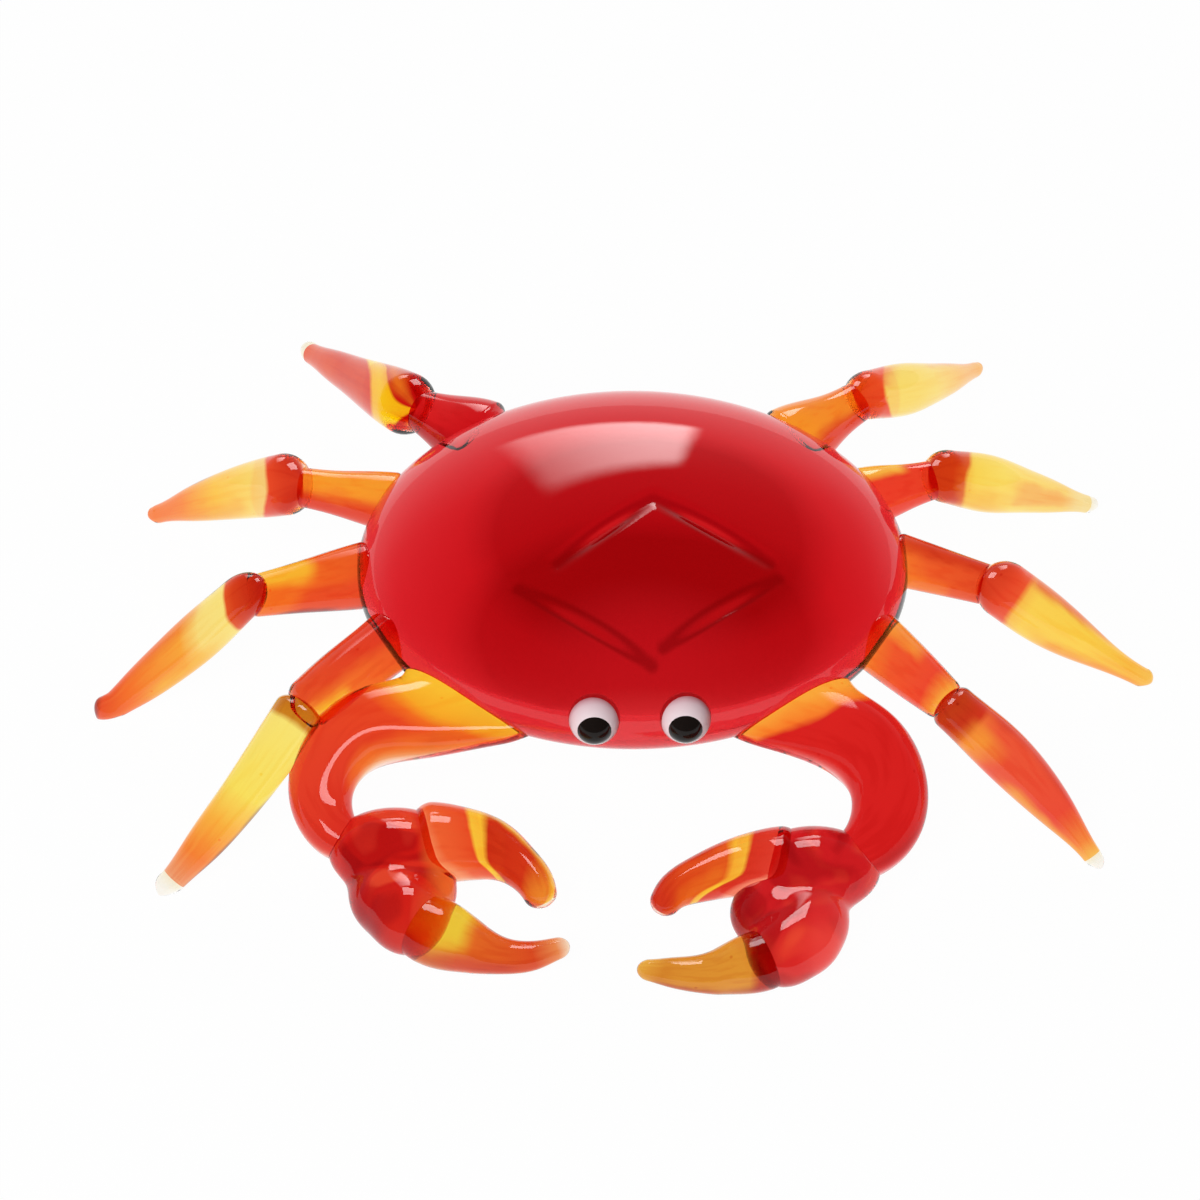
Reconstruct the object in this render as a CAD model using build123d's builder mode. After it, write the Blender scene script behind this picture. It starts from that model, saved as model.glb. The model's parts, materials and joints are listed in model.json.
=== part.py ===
from build123d import *
import os
from collections import namedtuple
from math import cos, radians, sin, sqrt

# A crab made of coloured glass rods and gathers, fused in a flame. Millimetres, +Z up, the crab faces -Y.
# Left and right are as seen from the crab's front, so left is -X. The feet and claws stand on Z = 0.

# Shell: a lens with a dome above its rim and a flatter belly below
shell_width = 61.0
shell_length = 48.8
dome_height = 12.0
belly_depth = 9.0
belly_clearance = 4.0
shell_x = 0.74
shell_y = 2.67
rim_height = belly_clearance + belly_depth
shell_centre = Vector(shell_x, shell_y, rim_height)

# Creases pressed into the dome, each from one point to another seen from above, from the shell's centre
crease_width = 1.6
crease_lift = 0.35
creases = {
    "rear_left": ((-8.2, -8.2), (2.2, 0.2)),
    "rear_right": ((2.2, 0.2), (14.8, -7.3)),
    "front_right": ((15.8, -9.0), (3.2, -17.8)),
    "front_left": ((-12.4, -10.8), (2.0, -19.5)),
}

# Eyes: white beads sunk in the front of the rim, each with a black dot facing forwards and a little up
eye_spacing = 9.8
eye_middle_x = 0.7
eye_rise = 2.1
eye_diameter = 5.6
eye_sink = 0.9
pupil_diameter = 3.8
pupil_proud = 0.45
pupil_tilt = 24.0

# Walking legs: the upper leg runs from the rim at a bearing to the knee, the lower leg from the knee to
# the foot. Bearings and headings are degrees from +X seen from above, reaches are level distances, and
# sweep and arch bend the lower leg sideways and upwards at its middle.
knee_rise = 0.3
foot_height = 0.1
root_depth = 6.0
socket_round = 1.5
lower_shares = (0.0, 0.25, 0.5, 0.72, 0.92)
Leg = namedtuple(
    "Leg",
    "bearing upper_reach upper_heading upper_widths lower_reach lower_heading lower_widths head sweep arch",
)
legs = {
    "rear_left":
        Leg(132, 9.1, 149, (9.0, 6.2, 3.9), 24.0, 122, (7.2, 6.2, 4.7, 3.6, 2.5), 2.8, 0.0, 0.0),
    "mid_rear_left":
        Leg(160, 11.3, 169, (6.6, 5.0, 4.3), 17.7, 158, (7.0, 6.4, 5.2, 3.7, 2.2), 2.8, -0.3, 0.2),
    "mid_front_left":
        Leg(182, 13.2, 195, (7.3, 5.7, 4.4), 17.5, 201, (5.0, 5.5, 5.0, 4.0, 2.9), 3.6, -0.4, -1.2),
    "front_left":
        Leg(202, 13.2, 227, (6.8, 6.6, 5.6), 21.1, 224, (5.6, 5.4, 4.8, 4.0, 2.8), 1.6, 0.7, 0.0),
    "rear_right":
        Leg(46, 10.5, 38, (8.4, 5.6, 4.5), 21.5, 49, (5.6, 6.1, 4.8, 3.3, 1.9), 3.0, -0.6, 0.0),
    "mid_rear_right":
        Leg(22, 8.4, 17, (6.6, 5.0, 4.2), 19.5, 21, (6.0, 6.6, 5.2, 3.6, 2.1), 2.8, 0.2, 0.0),
    "mid_front_right":
        Leg(2, 11.4, 338, (5.8, 5.0, 4.3), 17.2, 352, (6.4, 6.2, 4.8, 3.1, 2.3), 3.2, -0.3, -0.3),
    "front_right":
        Leg(338, 11.6, 310, (6.6, 5.7, 4.4), 20.1, 324, (5.2, 5.8, 5.3, 3.7, 2.1), 1.6, 0.9, 0.0),
}
# The front legs keep a rounded end on the upper leg, sunk in a socket of the lower leg, and touch an arm.
socketed_legs = {"front_left": "arm_left", "front_right": "arm_right"}
# Feet that end in a drop of clear or ivory glass, and the length of each drop
foot_drops = {"rear_left": 2.2, "front_left": 2.4, "mid_rear_right": 1.8, "front_right": 1.8}

# Arms and claws: points in level steps outwards and forwards from the shoulder, which lies on the rim
# at a bearing, and their heights. Claw points step inwards and forwards from the wrist.
arm_drop = 1.5
arm_depth = 6.0
fan_thickness = 7.4
Arm = namedtuple("Arm", "side bearing steps heights widths fan")
arms = {
    "left": Arm(
        -1,
        224.5,
        ((4.2, 0.6), (10.0, 2.0), (13.9, 5.6), (14.5, 9.0), (12.3, 12.4)),
        (11.4, 10.7, 8.9, 6.9, 5.2),
        (7.0, 8.6, 8.9, 7.8, 6.8, 5.4, 4.6),
        (17.0, 15.5, 10.5),
    ),
    "right": Arm(
        1,
        313.5,
        ((2.9, 1.2), (6.9, 4.2), (9.1, 7.8), (8.9, 11.0), (5.9, 14.2)),
        (11.4, 10.8, 9.0, 7.2, 5.4),
        (7.0, 8.8, 9.2, 8.5, 8.0, 6.2, 4.8),
        (16.0, 14.5, 10.5),
    ),
}
Claw = namedtuple("Claw", "lobe web horn horn_widths joint finger finger_widths")
claws = {
    "left": Claw(
        (5.8, 1.4),
        (6.9, 6.0),
        (
            (5.0, 4.6), (5.4, 7.2), (7.4, 9.7), (10.6, 11.8), (14.3, 13.0),
            (17.4, 13.8), (20.8, 13.8), (23.3, 12.9), (24.7, 12.4),
        ),
        (6.4, 7.8, 8.4, 7.8, 6.0, 4.2, 3.3, 2.5, 2.2),
        3,
        ((7.0, 0.9), (10.0, 0.7), (12.8, 0.8), (16.3, 1.6), (19.2, 3.7), (20.9, 5.9), (21.9, 8.9)),
        (8.8, 9.0, 8.2, 6.8, 4.9, 4.2, 3.2),
    ),
    "right": Claw(
        (4.9, 1.6),
        (8.4, 6.6),
        (
            (5.0, 5.6), (5.2, 8.0), (6.2, 10.2), (8.4, 11.8), (11.4, 13.0),
            (14.8, 13.6), (17.5, 13.9), (20.5, 13.7), (22.8, 13.4), (24.0, 13.2),
        ),
        (6.4, 7.6, 7.8, 7.6, 7.0, 5.5, 4.3, 3.4, 2.4, 2.1),
        4,
        ((5.6, 1.5), (8.4, 1.3), (11.0, 1.3), (14.0, 1.9), (17.0, 3.1), (20.0, 4.9), (21.6, 7.6)),
        (8.2, 8.4, 7.4, 6.2, 5.2, 4.0, 2.8),
    ),
}
lobe_length = 14.4
lobe_width = 9.4
lobe_thickness = 9.6
web_length = 12.0
web_width = 10.4
web_thickness = 7.6
horn_least_height = 2.4
finger_height = 5.0
tip_round = 1.2

# Rods are lofted through this many sections, and a rounded end keeps a small flat, a share of its width.
rod_sections = 13
end_flat = 0.15

# Every foot and claw has a flat, cut this far up from its lowest point by a block under the floor.
floor_cut = 0.25
floor_block = 3 * shell_width


def rim_point(bearing):
    """Point of the shell's rim seen from its centre at a bearing."""
    across = cos(radians(bearing)) / (shell_width / 2)
    along = sin(radians(bearing)) / (shell_length / 2)
    reach = 1 / sqrt(across**2 + along**2)
    return shell_centre + level_step(bearing, reach)


def level_step(heading, reach):
    """Level move of a given reach along a heading."""
    return Vector(reach * cos(radians(heading)), reach * sin(radians(heading)), 0)


def on_dome(x, y):
    """Point of the dome above a place given from the shell's centre."""
    share = 1 - (2 * x / shell_width) ** 2 - (2 * y / shell_length) ** 2
    return shell_centre + Vector(x, y, dome_height * sqrt(share))


def oval(centre, along, width, thickness):
    """Oval section square to a direction, its width level."""
    level = Vector(0, 0, 1).cross(along)
    with BuildSketch(Plane(origin=centre, x_dir=level, z_dir=along), mode=Mode.PRIVATE) as section:
        Ellipse(width / 2, thickness / 2)
    return section.sketch.face()


def width_between(share, marks, widths):
    """Width at a share of a run, from the widths at its marks."""
    for index in range(1, len(marks) - 1):
        if share < marks[index]:
            break
    else:
        index = len(marks) - 1
    part_way = (share - marks[index - 1]) / (marks[index] - marks[index - 1])
    return widths[index - 1] + (widths[index] - widths[index - 1]) * part_way


def roundness(distance, round_length):
    """Share of the full width at a distance from an end that is rounded like an ellipse."""
    if distance >= round_length:
        return 1.0
    return max(end_flat, sqrt(1 - (1 - distance / round_length) ** 2))


def glass_rod(points, widths, start_round=0.0, end_round=0.0):
    """Loft round sections along a smooth run; they crowd towards its ends, which may be rounded."""
    with BuildLine(mode=Mode.PRIVATE):
        run = Spline(*points)
    marks = [run.param_at_point(point) for point in points]
    sections = []
    for station in range(rod_sections):
        share = (1 - cos(radians(180 * station / (rod_sections - 1)))) / 2
        width = width_between(share, marks, widths)
        width *= roundness(share * run.length, start_round)
        width *= roundness((1 - share) * run.length, end_round)
        sections.append(oval(run @ share, run % share, width, width))
    loft(sections=sections)


def claw_point(wrist, side, step, height):
    """Point of a claw, in steps inwards and forwards from the wrist."""
    inwards, ahead = step
    return Vector(wrist.X - side * inwards, wrist.Y - ahead, height)


def ellipsoid(centre, length, width, thickness):
    """Solid ellipsoid with its length along X and its thickness along Z."""
    with BuildPart(mode=Mode.PRIVATE) as ball:
        Sphere(1)
        scale(by=(length / 2, width / 2, thickness / 2))
    return ball.part.moved(Location(centre))


pieces = {}

# Block under the floor, which cuts a flat under every foot and claw
with BuildPart() as floor:
    with Locations((0, 0, -floor_block / 2)):
        Box(floor_block, floor_block, floor_block)

# Shell
with BuildPart() as shell:
    with BuildSketch(Plane(origin=shell_centre, x_dir=(1, 0, 0), z_dir=(0, -1, 0))) as half_section:
        with BuildLine():
            EllipticalCenterArc((0, 0), shell_width / 2, dome_height, start_angle=0, arc_size=90)
            EllipticalCenterArc((0, 0), shell_width / 2, belly_depth, start_angle=270, arc_size=90)
            Line((0, dome_height), (0, -belly_depth))
        make_face()
    revolve(axis=Axis(shell_centre, (0, 0, 1)))
    scale(by=(1, shell_length / shell_width, 1), about=shell_centre)
    for start, end in creases.values():
        near = on_dome(*start)
        far = on_dome(*end)
        run = far - near
        middle = (near + far) / 2 + Vector(0, 0, crease_lift)
        groove_plane = Plane(origin=middle, x_dir=run, z_dir=run.cross(Vector(0, 0, 1)))
        with BuildSketch(groove_plane) as groove:
            with BuildLine():
                ThreePointArc((-run.length / 2, 0), (0, crease_width / 2), (run.length / 2, 0))
                Line((run.length / 2, 0), (-run.length / 2, 0))
            make_face()
        revolve(axis=Axis(middle, run), mode=Mode.SUBTRACT)
pieces["shell"] = shell.part

# Eyes
for side, name in ((-1, "left"), (1, "right")):
    eye_x = eye_middle_x + side * eye_spacing / 2
    share = 1 - (2 * eye_x / shell_width) ** 2 - (eye_rise / dome_height) ** 2
    surface = shell_centre + Vector(eye_x, -shell_length / 2 * sqrt(share), eye_rise)
    bead_centre = surface + Vector(0, eye_sink, 0)
    gaze = Vector(0, -cos(radians(pupil_tilt)), sin(radians(pupil_tilt)))
    pupil_centre = bead_centre + gaze * (eye_diameter / 2 + pupil_proud - pupil_diameter / 2)
    with BuildPart() as bead:
        with Locations(bead_centre):
            Sphere(eye_diameter / 2)
    with BuildPart() as eye_white:
        add(bead.part)
        add(shell.part, mode=Mode.SUBTRACT)
    with BuildPart() as pupil:
        with Locations(pupil_centre):
            Sphere(pupil_diameter / 2)
        add(bead.part, mode=Mode.SUBTRACT)
    pieces[f"eye_white_{name}"] = eye_white.part
    pieces[f"pupil_{name}"] = pupil.part

# Arms and claws
for name, arm in arms.items():
    claw = claws[name]
    shoulder = rim_point(arm.bearing) - Vector(0, 0, arm_drop)
    inner = shoulder - level_step(arm.bearing, arm_depth)
    arm_points = [inner]
    for (outwards, ahead), height in zip(arm.steps, arm.heights):
        arm_points.append(Vector(shoulder.X + arm.side * outwards, shoulder.Y - ahead, height))
    wrist = arm_points[-1]
    horn_points = []
    for step, width in zip(claw.horn, claw.horn_widths):
        horn_points.append(claw_point(wrist, arm.side, step, max(width / 2 - floor_cut, horn_least_height)))
    joint_axis = (horn_points[claw.joint + 1] - horn_points[claw.joint - 1]).normalized()
    joint_plane = Plane(origin=horn_points[claw.joint], z_dir=joint_axis)
    finger_points = [claw_point(wrist, arm.side, step, finger_height) for step in claw.finger]
    lobe_centre = claw_point(wrist, arm.side, claw.lobe, lobe_thickness / 2 - floor_cut)
    web_centre = claw_point(wrist, arm.side, claw.web, web_thickness / 2 - floor_cut)
    arm_points.append((wrist + lobe_centre) / 2)
    fan_axis = (arm_points[1] - inner).normalized()
    fan_points = (inner, (inner + arm_points[1]) / 2, arm_points[1])
    fan = [oval(place, fan_axis, width, fan_thickness) for place, width in zip(fan_points, arm.fan)]
    with BuildPart() as horn:
        glass_rod(horn_points, claw.horn_widths, claw.horn_widths[0] / 2, tip_round)
    with BuildPart() as palm:
        add(horn.part)
        split(bisect_by=joint_plane, keep=Keep.BOTTOM)
        add(ellipsoid(lobe_centre, lobe_length, lobe_width, lobe_thickness))
        add(ellipsoid(web_centre, web_length, web_width, web_thickness))
        add(floor.part, mode=Mode.SUBTRACT)
    with BuildPart() as front_finger:
        add(horn.part)
        split(bisect_by=joint_plane, keep=Keep.TOP)
        add(palm.part, mode=Mode.SUBTRACT)
        add(floor.part, mode=Mode.SUBTRACT)
    with BuildPart() as back_finger:
        glass_rod(finger_points, claw.finger_widths, claw.finger_widths[0] / 2, tip_round)
        add(palm.part, mode=Mode.SUBTRACT)
    with BuildPart() as arm_rod:
        glass_rod(arm_points, arm.widths)
        loft(sections=fan)
        add(shell.part, mode=Mode.SUBTRACT)
        add(palm.part, mode=Mode.SUBTRACT)
    pieces[f"palm_{name}"] = palm.part
    pieces[f"front_finger_{name}"] = front_finger.part
    pieces[f"back_finger_{name}"] = back_finger.part
    pieces[f"arm_{name}"] = arm_rod.part

# Walking legs
for name, leg in legs.items():
    rim = rim_point(leg.bearing)
    knee = rim + level_step(leg.upper_heading, leg.upper_reach) + Vector(0, 0, knee_rise)
    foot = knee + level_step(leg.lower_heading, leg.lower_reach)
    foot.Z = foot_height
    bend = level_step(leg.lower_heading + 90, leg.sweep) + Vector(0, 0, leg.arch)
    upper_axis = (knee - rim).normalized()
    upper_points = [rim - upper_axis * root_depth, rim, (rim + knee) / 2, knee]
    upper_widths = leg.upper_widths[:1] + leg.upper_widths
    lower_points = [knee + (foot - knee) * t + bend * (4 * t * (1 - t)) for t in lower_shares]
    head_point = knee - (lower_points[1] - knee).normalized() * leg.head
    drop_axis = (foot - lower_points[-1]).normalized()
    drop_round = (foot - lower_points[-1]).length
    lower_widths = leg.lower_widths[:1] + leg.lower_widths + leg.lower_widths[-1:]
    with BuildPart() as lower_rod:
        glass_rod([head_point] + lower_points + [foot], lower_widths, leg.head, drop_round)
        add(floor.part, mode=Mode.SUBTRACT)
    if name in socketed_legs:
        arm_beside = pieces[socketed_legs[name]]
        with BuildPart() as upper_leg:
            glass_rod(upper_points, upper_widths, end_round=socket_round)
            add(shell.part, mode=Mode.SUBTRACT)
            add(arm_beside, mode=Mode.SUBTRACT)
        with BuildPart() as lower_leg:
            add(lower_rod.part)
            add(upper_leg.part, mode=Mode.SUBTRACT)
            add(arm_beside, mode=Mode.SUBTRACT)
    else:
        with BuildPart() as lower_leg:
            add(lower_rod.part)
        with BuildPart() as upper_leg:
            glass_rod(upper_points, upper_widths)
            add(shell.part, mode=Mode.SUBTRACT)
            add(lower_leg.part, mode=Mode.SUBTRACT)
    pieces[f"upper_leg_{name}"] = upper_leg.part
    if name in foot_drops:
        parting = Plane(origin=foot - drop_axis * foot_drops[name], z_dir=drop_axis)
        with BuildPart() as foot_drop:
            add(lower_leg.part)
            split(bisect_by=parting, keep=Keep.TOP)
        with BuildPart() as shin:
            add(lower_leg.part)
            split(bisect_by=parting, keep=Keep.BOTTOM)
        pieces[f"foot_drop_{name}"] = foot_drop.part
        pieces[f"lower_leg_{name}"] = shin.part
    else:
        pieces[f"lower_leg_{name}"] = lower_leg.part

os.makedirs("parts", exist_ok=True)
for name, piece in pieces.items():
    piece.label = name
    export_step(piece, f"parts/{name}.step")
    print(f"{name}: {len(piece.solids())} solid, {piece.volume:.0f} mm3")
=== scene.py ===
# %% [markdown]
# A crab of coloured glass, drawn and fused in a flame: a thick red lens for the shell, eight legs of
# striped rod, two bent arms with pincers and two bead eyes. The solids could be shown as they are, but
# clear glass shows every facet, so each is replaced by a smooth surface of the same size.

import json
from math import cos, pi, radians, sin

import bpy
import numpy as np
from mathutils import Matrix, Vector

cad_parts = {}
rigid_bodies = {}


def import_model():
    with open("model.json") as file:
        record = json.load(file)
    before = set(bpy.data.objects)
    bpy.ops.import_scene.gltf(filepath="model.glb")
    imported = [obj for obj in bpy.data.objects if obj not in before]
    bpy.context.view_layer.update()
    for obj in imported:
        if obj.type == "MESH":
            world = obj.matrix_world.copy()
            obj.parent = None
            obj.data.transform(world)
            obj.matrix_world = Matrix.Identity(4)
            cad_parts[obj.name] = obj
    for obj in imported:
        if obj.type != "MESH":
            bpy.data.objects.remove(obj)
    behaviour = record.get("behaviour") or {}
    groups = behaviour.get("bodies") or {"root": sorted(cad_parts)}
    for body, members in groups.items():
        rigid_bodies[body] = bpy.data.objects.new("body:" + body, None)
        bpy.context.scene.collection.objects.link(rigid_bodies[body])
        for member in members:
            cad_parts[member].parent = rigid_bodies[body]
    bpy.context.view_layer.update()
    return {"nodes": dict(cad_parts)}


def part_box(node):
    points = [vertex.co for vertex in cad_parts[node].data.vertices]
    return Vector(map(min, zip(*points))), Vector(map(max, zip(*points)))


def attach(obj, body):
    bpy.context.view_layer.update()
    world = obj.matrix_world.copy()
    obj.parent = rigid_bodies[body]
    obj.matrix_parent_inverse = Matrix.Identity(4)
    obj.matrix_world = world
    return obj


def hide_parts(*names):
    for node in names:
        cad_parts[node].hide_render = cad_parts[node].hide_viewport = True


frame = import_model()
scene = bpy.context.scene
MM = 0.001  # in metres; the lengths below are in millimetres
print("nodes:", len(frame["nodes"]))

# %% [markdown]
# Every piece is a skin of rings. An end is drawn together in a pole, or stays open where the piece is
# fused to another one, because glass that has run together has no wall inside. A ready-made sphere or a
# bevelled curve would do for some pieces, but a grid that is worked out here carries its own map: u is
# the share of the length and v goes once around.


# %% Turn a stack of rings into a piece
def lengths(vectors):
    """Lengths of vectors: the root of the sum of their squares."""
    return np.linalg.norm(vectors, axis=-1)


def unit(vectors):
    """Vectors of length 1 in the same directions."""
    return vectors / lengths(vectors)[..., None]


def run_lengths(points):
    """Length along a path at each of its points: the sum of the steps before it."""
    return np.concatenate([[0], np.cumsum(lengths(np.diff(points, axis=0)))])


def add_piece(mesh, node):
    """Put a mesh in the scene as the piece that stands for one of the solids."""
    piece = bpy.data.objects.new(mesh.name, mesh)
    scene.collection.objects.link(piece)
    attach(piece, "root")
    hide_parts(node)
    return piece


def skin(node, rings, glass, poles=(True, True)):
    """Mesh from rings[station, place around, xyz] in mm; an end with a pole shrinks to its ring's middle.
    Faces that span a volume below 0 look inwards, and are turned over."""
    around = rings.shape[1]
    middles = rings.mean(1)
    u = run_lengths(middles)
    u /= u[-1]
    kept = slice(poles[0], len(rings) - poles[1])
    walls, wall_u = rings[kept], u[kept]
    ends = [edge for edge, pole in zip((0, -1), poles) if pole]
    points = np.concatenate([walls.reshape(-1, 3), middles[ends]]) * MM
    ring = np.arange(len(walls))[:, None] * around
    here = np.arange(around)[None, :]
    beside = (here + 1) % around
    v, next_v = here / around, (here + 1) / around
    low, high = wall_u[:-1, None], wall_u[1:, None]
    corners = [(ring[:-1] + here, low, v), (ring[:-1] + beside, low, next_v),
               (ring[1:] + beside, high, next_v), (ring[1:] + here, high, v)]
    faces = [np.stack([spot for spot, _, _ in corners], -1).reshape(-1, 4)]
    corner_maps = [np.stack(np.broadcast_arrays(a, b), -1) for _, a, b in corners]
    maps = [np.stack(corner_maps, -2).reshape(-1, 2)]
    for count, edge in enumerate(ends):
        turn = 1 if edge == 0 else -1
        tip = np.full(around, ring.size * around + count)
        fan = [tip, ring[edge] + beside[0], ring[edge] + here[0]]
        faces.append(np.stack(fan[::turn], -1))
        fan_map = [(u[edge], (v[0] + next_v[0]) / 2), (wall_u[edge], next_v[0]), (wall_u[edge], v[0])]
        fan_map = [np.stack(np.broadcast_arrays(a, b), -1) for a, b in fan_map[::turn]]
        maps.append(np.stack(fan_map, 1).reshape(-1, 2))
    a, b, c = (points[faces[0][:, k]] for k in (0, 1, 2))
    middle = points.mean(0)
    if np.einsum("ij,ij->", a - middle, np.cross(b - middle, c - middle)) < 0:
        maps = [flat.reshape(len(face), -1, 2)[:, ::-1].reshape(-1, 2) for flat, face in zip(maps, faces)]
        faces = [face[:, ::-1] for face in faces]
    mesh = bpy.data.meshes.new(f"{node}_skin")
    mesh.from_pydata(points.tolist(), [], [face for group in faces for face in group.tolist()])
    mesh.uv_layers.new(name="along_around").data.foreach_set("uv", np.concatenate(maps).ravel())
    mesh.polygons.foreach_set("use_smooth", np.ones(len(mesh.polygons), bool))
    mesh.materials.append(glass)
    return add_piece(mesh, node)


print("along steps of 3 and 4 mm:", run_lengths([(0, 0, 0), (3, 0, 0), (3, 4, 0)]))

# %% [markdown]
# A drawn rod bends and swells gently, and its path and widths are known at a few places only. Straight
# steps would show as kinks in the gloss, so both run through those places as natural cubic curves.


# %% Curves through a few known places
def smooth_run(marks, values, places):
    """Natural cubic curve through values at marks, read off at places. The curls at the marks solve the
    equations that keep the slope even across each mark, with no curl at both ends."""
    values = np.asarray(values, float)
    gap = np.diff(marks)
    count = len(marks)
    system = np.eye(count)
    inside = np.arange(1, count - 1)
    system[inside, inside - 1] = gap[:-1]
    system[inside, inside] = 2 * (gap[:-1] + gap[1:])
    system[inside, inside + 1] = gap[1:]
    slope = np.diff(values, axis=0) / gap.reshape(-1, *[1] * (values.ndim - 1))
    push = np.zeros_like(values)
    push[1:-1] = 6 * np.diff(slope, axis=0)
    curl = np.linalg.solve(system, push)
    step = np.clip(np.searchsorted(marks, places) - 1, 0, count - 2)
    shape = (-1,) + (1,) * (values.ndim - 1)
    h = gap[step].reshape(shape)
    a = (marks[step + 1] - places).reshape(shape) / h
    b = 1 - a
    bend = (a**3 - a) * curl[step] + (b**3 - b) * curl[step + 1]
    return a * values[step] + b * values[step + 1] + bend * h**2 / 6


print("between 0, 1 and 0:", smooth_run(np.arange(3.0), [0, 1, 0], np.array([0.5, 1.5])).round(3))

# %% [markdown]
# The rod is a row of oval rings along that path, closest near its ends, which close like drops. A tube
# from a curve object could not flatten. A ring that would sink into the table is lifted on to it.


# %% Rings along a rod
def drawn_rod(points, widths, thicknesses=None, start_round=0.0, end_round=0.0, stations=97, around=56):
    """Rings of an oval section, square to a smooth path; v = 0 is its top. A round end shrinks by the root
    of 1 less the square of the share that is missing."""
    points = np.asarray(points, float)
    marks = run_lengths(points)
    reach = marks[-1]
    places = reach * (1 - np.cos(np.linspace(0, pi, stations))) / 2
    path = smooth_run(marks, points, places)
    width = smooth_run(marks, widths, places) / 2
    thick = width if thicknesses is None else smooth_run(marks, thicknesses, places) / 2
    for distance, length in ((places, start_round), (reach - places, end_round)):
        if length:
            close = np.clip(distance / length, 0, 1)
            shrink = np.sqrt(1 - (1 - close) ** 2)
            width, thick = width * shrink, thick * shrink
    run = unit(np.gradient(path, places, axis=0))
    side = unit(np.cross([0, 0, 1], run))
    up = np.cross(run, side)
    angle = 2 * pi * np.arange(around) / around
    over = np.cos(angle)[None, :, None] * (up * thick[:, None])[:, None, :]
    aside = np.sin(angle)[None, :, None] * (side * width[:, None])[:, None, :]
    rings = path[:, None, :] + over + aside
    rings[..., 2] -= np.minimum(rings[..., 2].min(1, keepdims=True), 0)
    return rings


rod = drawn_rod([(0, 0, 5), (9, 0, 5)], (4, 4))
print("rings, places around, axes:", rod.shape)

# %% [markdown]
# A fused rod stops at the other piece's surface. A boolean modifier would cut it too, but leaves ragged
# faces and no map. Here each line along the rod is followed to the place where it enters the other
# piece, and the rings are spread over the run that is left.


# %% Cut a rod where it is fused
def outside_run(rings, depth, fused=0.04):
    """Of each line along a rod, keep the run that is less than the fused depth inside another piece. Its
    ends lie between stations, at the share where a straight line between two depths crosses 0."""
    stations = len(rings)
    depth = depth - fused
    out = depth < 0
    first = out.argmax(0)
    last = stations - 1 - out[::-1].argmax(0)
    before, after = np.maximum(first - 1, 0), np.minimum(last + 1, stations - 1)
    column = np.arange(rings.shape[1])

    def crossing(inner, outer):
        gap = depth[inner, column] - depth[outer, column]
        share = np.where(inner == outer, 0, depth[inner, column] / np.where(gap == 0, 1, gap))
        return inner + (outer - inner) * share

    start, end = crossing(before, first), crossing(after, last)
    index = start + (end - start) * np.linspace(0, 1, stations)[:, None]
    low = np.clip(index.astype(int), 0, stations - 2)
    part = (index - low)[..., None]
    return rings[low, column] * (1 - part) + rings[low + 1, column] * part


print("cut at 3 mm:", outside_run(rod, 3 - rod[..., 0])[0, 0].round(2))

# %% [markdown]
# Cutting needs a measure of depth. These rods swell, flatten and bend, so no short formula fits, and a
# close row of oval balls stands for each. A mesh can also store such a number at every vertex, and a
# material reads it by its label.


# %% Depth inside a rod
def rod_depth(spots, path, widths, thicknesses=None, drawn_start=False, balls=60, smallest=0.001):
    """How deep spots lie in a rod: in each oval ball, its thickness times 1 less the spot's share of the
    way out, and the greatest of these. A drawn start has balls as large as their distance from it."""
    marks = run_lengths(path)
    places = np.linspace(0, marks[-1], balls)
    middles = smooth_run(marks, path, places)
    wide = smooth_run(marks, widths, places) / 2
    thick = wide if thicknesses is None else smooth_run(marks, thicknesses, places) / 2
    if drawn_start:
        wide, thick = (np.clip(places, smallest, size) for size in (wide, thick))
    side = unit(np.cross([0, 0, 1], np.gradient(middles, places, axis=0)))
    away = spots[..., None, :] - middles
    aside = (away * side).sum(-1)
    rest = (away**2).sum(-1) - aside**2
    share = np.sqrt((aside / wide) ** 2 + rest / thick**2)
    return (thick * (1 - share)).max(-1)


def mark(piece, label, measure):
    """Store a measure of every vertex, worked out from its place in mm, under a label."""
    spots = np.empty(len(piece.data.vertices) * 3)
    piece.data.vertices.foreach_get("co", spots)
    values = piece.data.attributes.new(label, "FLOAT", "POINT")
    values.data.foreach_set("value", measure(spots.reshape(-1, 3) / MM))


print("depth on its axis:", rod_depth(np.array([4.5, 0, 5]), [(0, 0, 5), (9, 0, 5)], (4, 4)).round(2))

# %% [markdown]
# Glass colours are mixed with node maths. Linking every node by hand would take pages, so a small
# wrapper around a socket lets them be written as sums, and one method adds any other node. What changes
# over a surface ends in the colour, roughness, bump or alpha of one shader.


# %% Write shader maths as sums
def colour(tone):
    """Three numbers from 0 to 255, as seen on a screen, turned into light: a 13th when very dark, else a
    power of 2.4. Four numbers are light already."""
    if len(tone) == 4:
        return tone
    seen = np.array(tone) / 255
    return (*np.where(seen < 0.04045, seen / 12.92, ((seen + 0.055) / 1.055) ** 2.4), 1.0)


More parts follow.
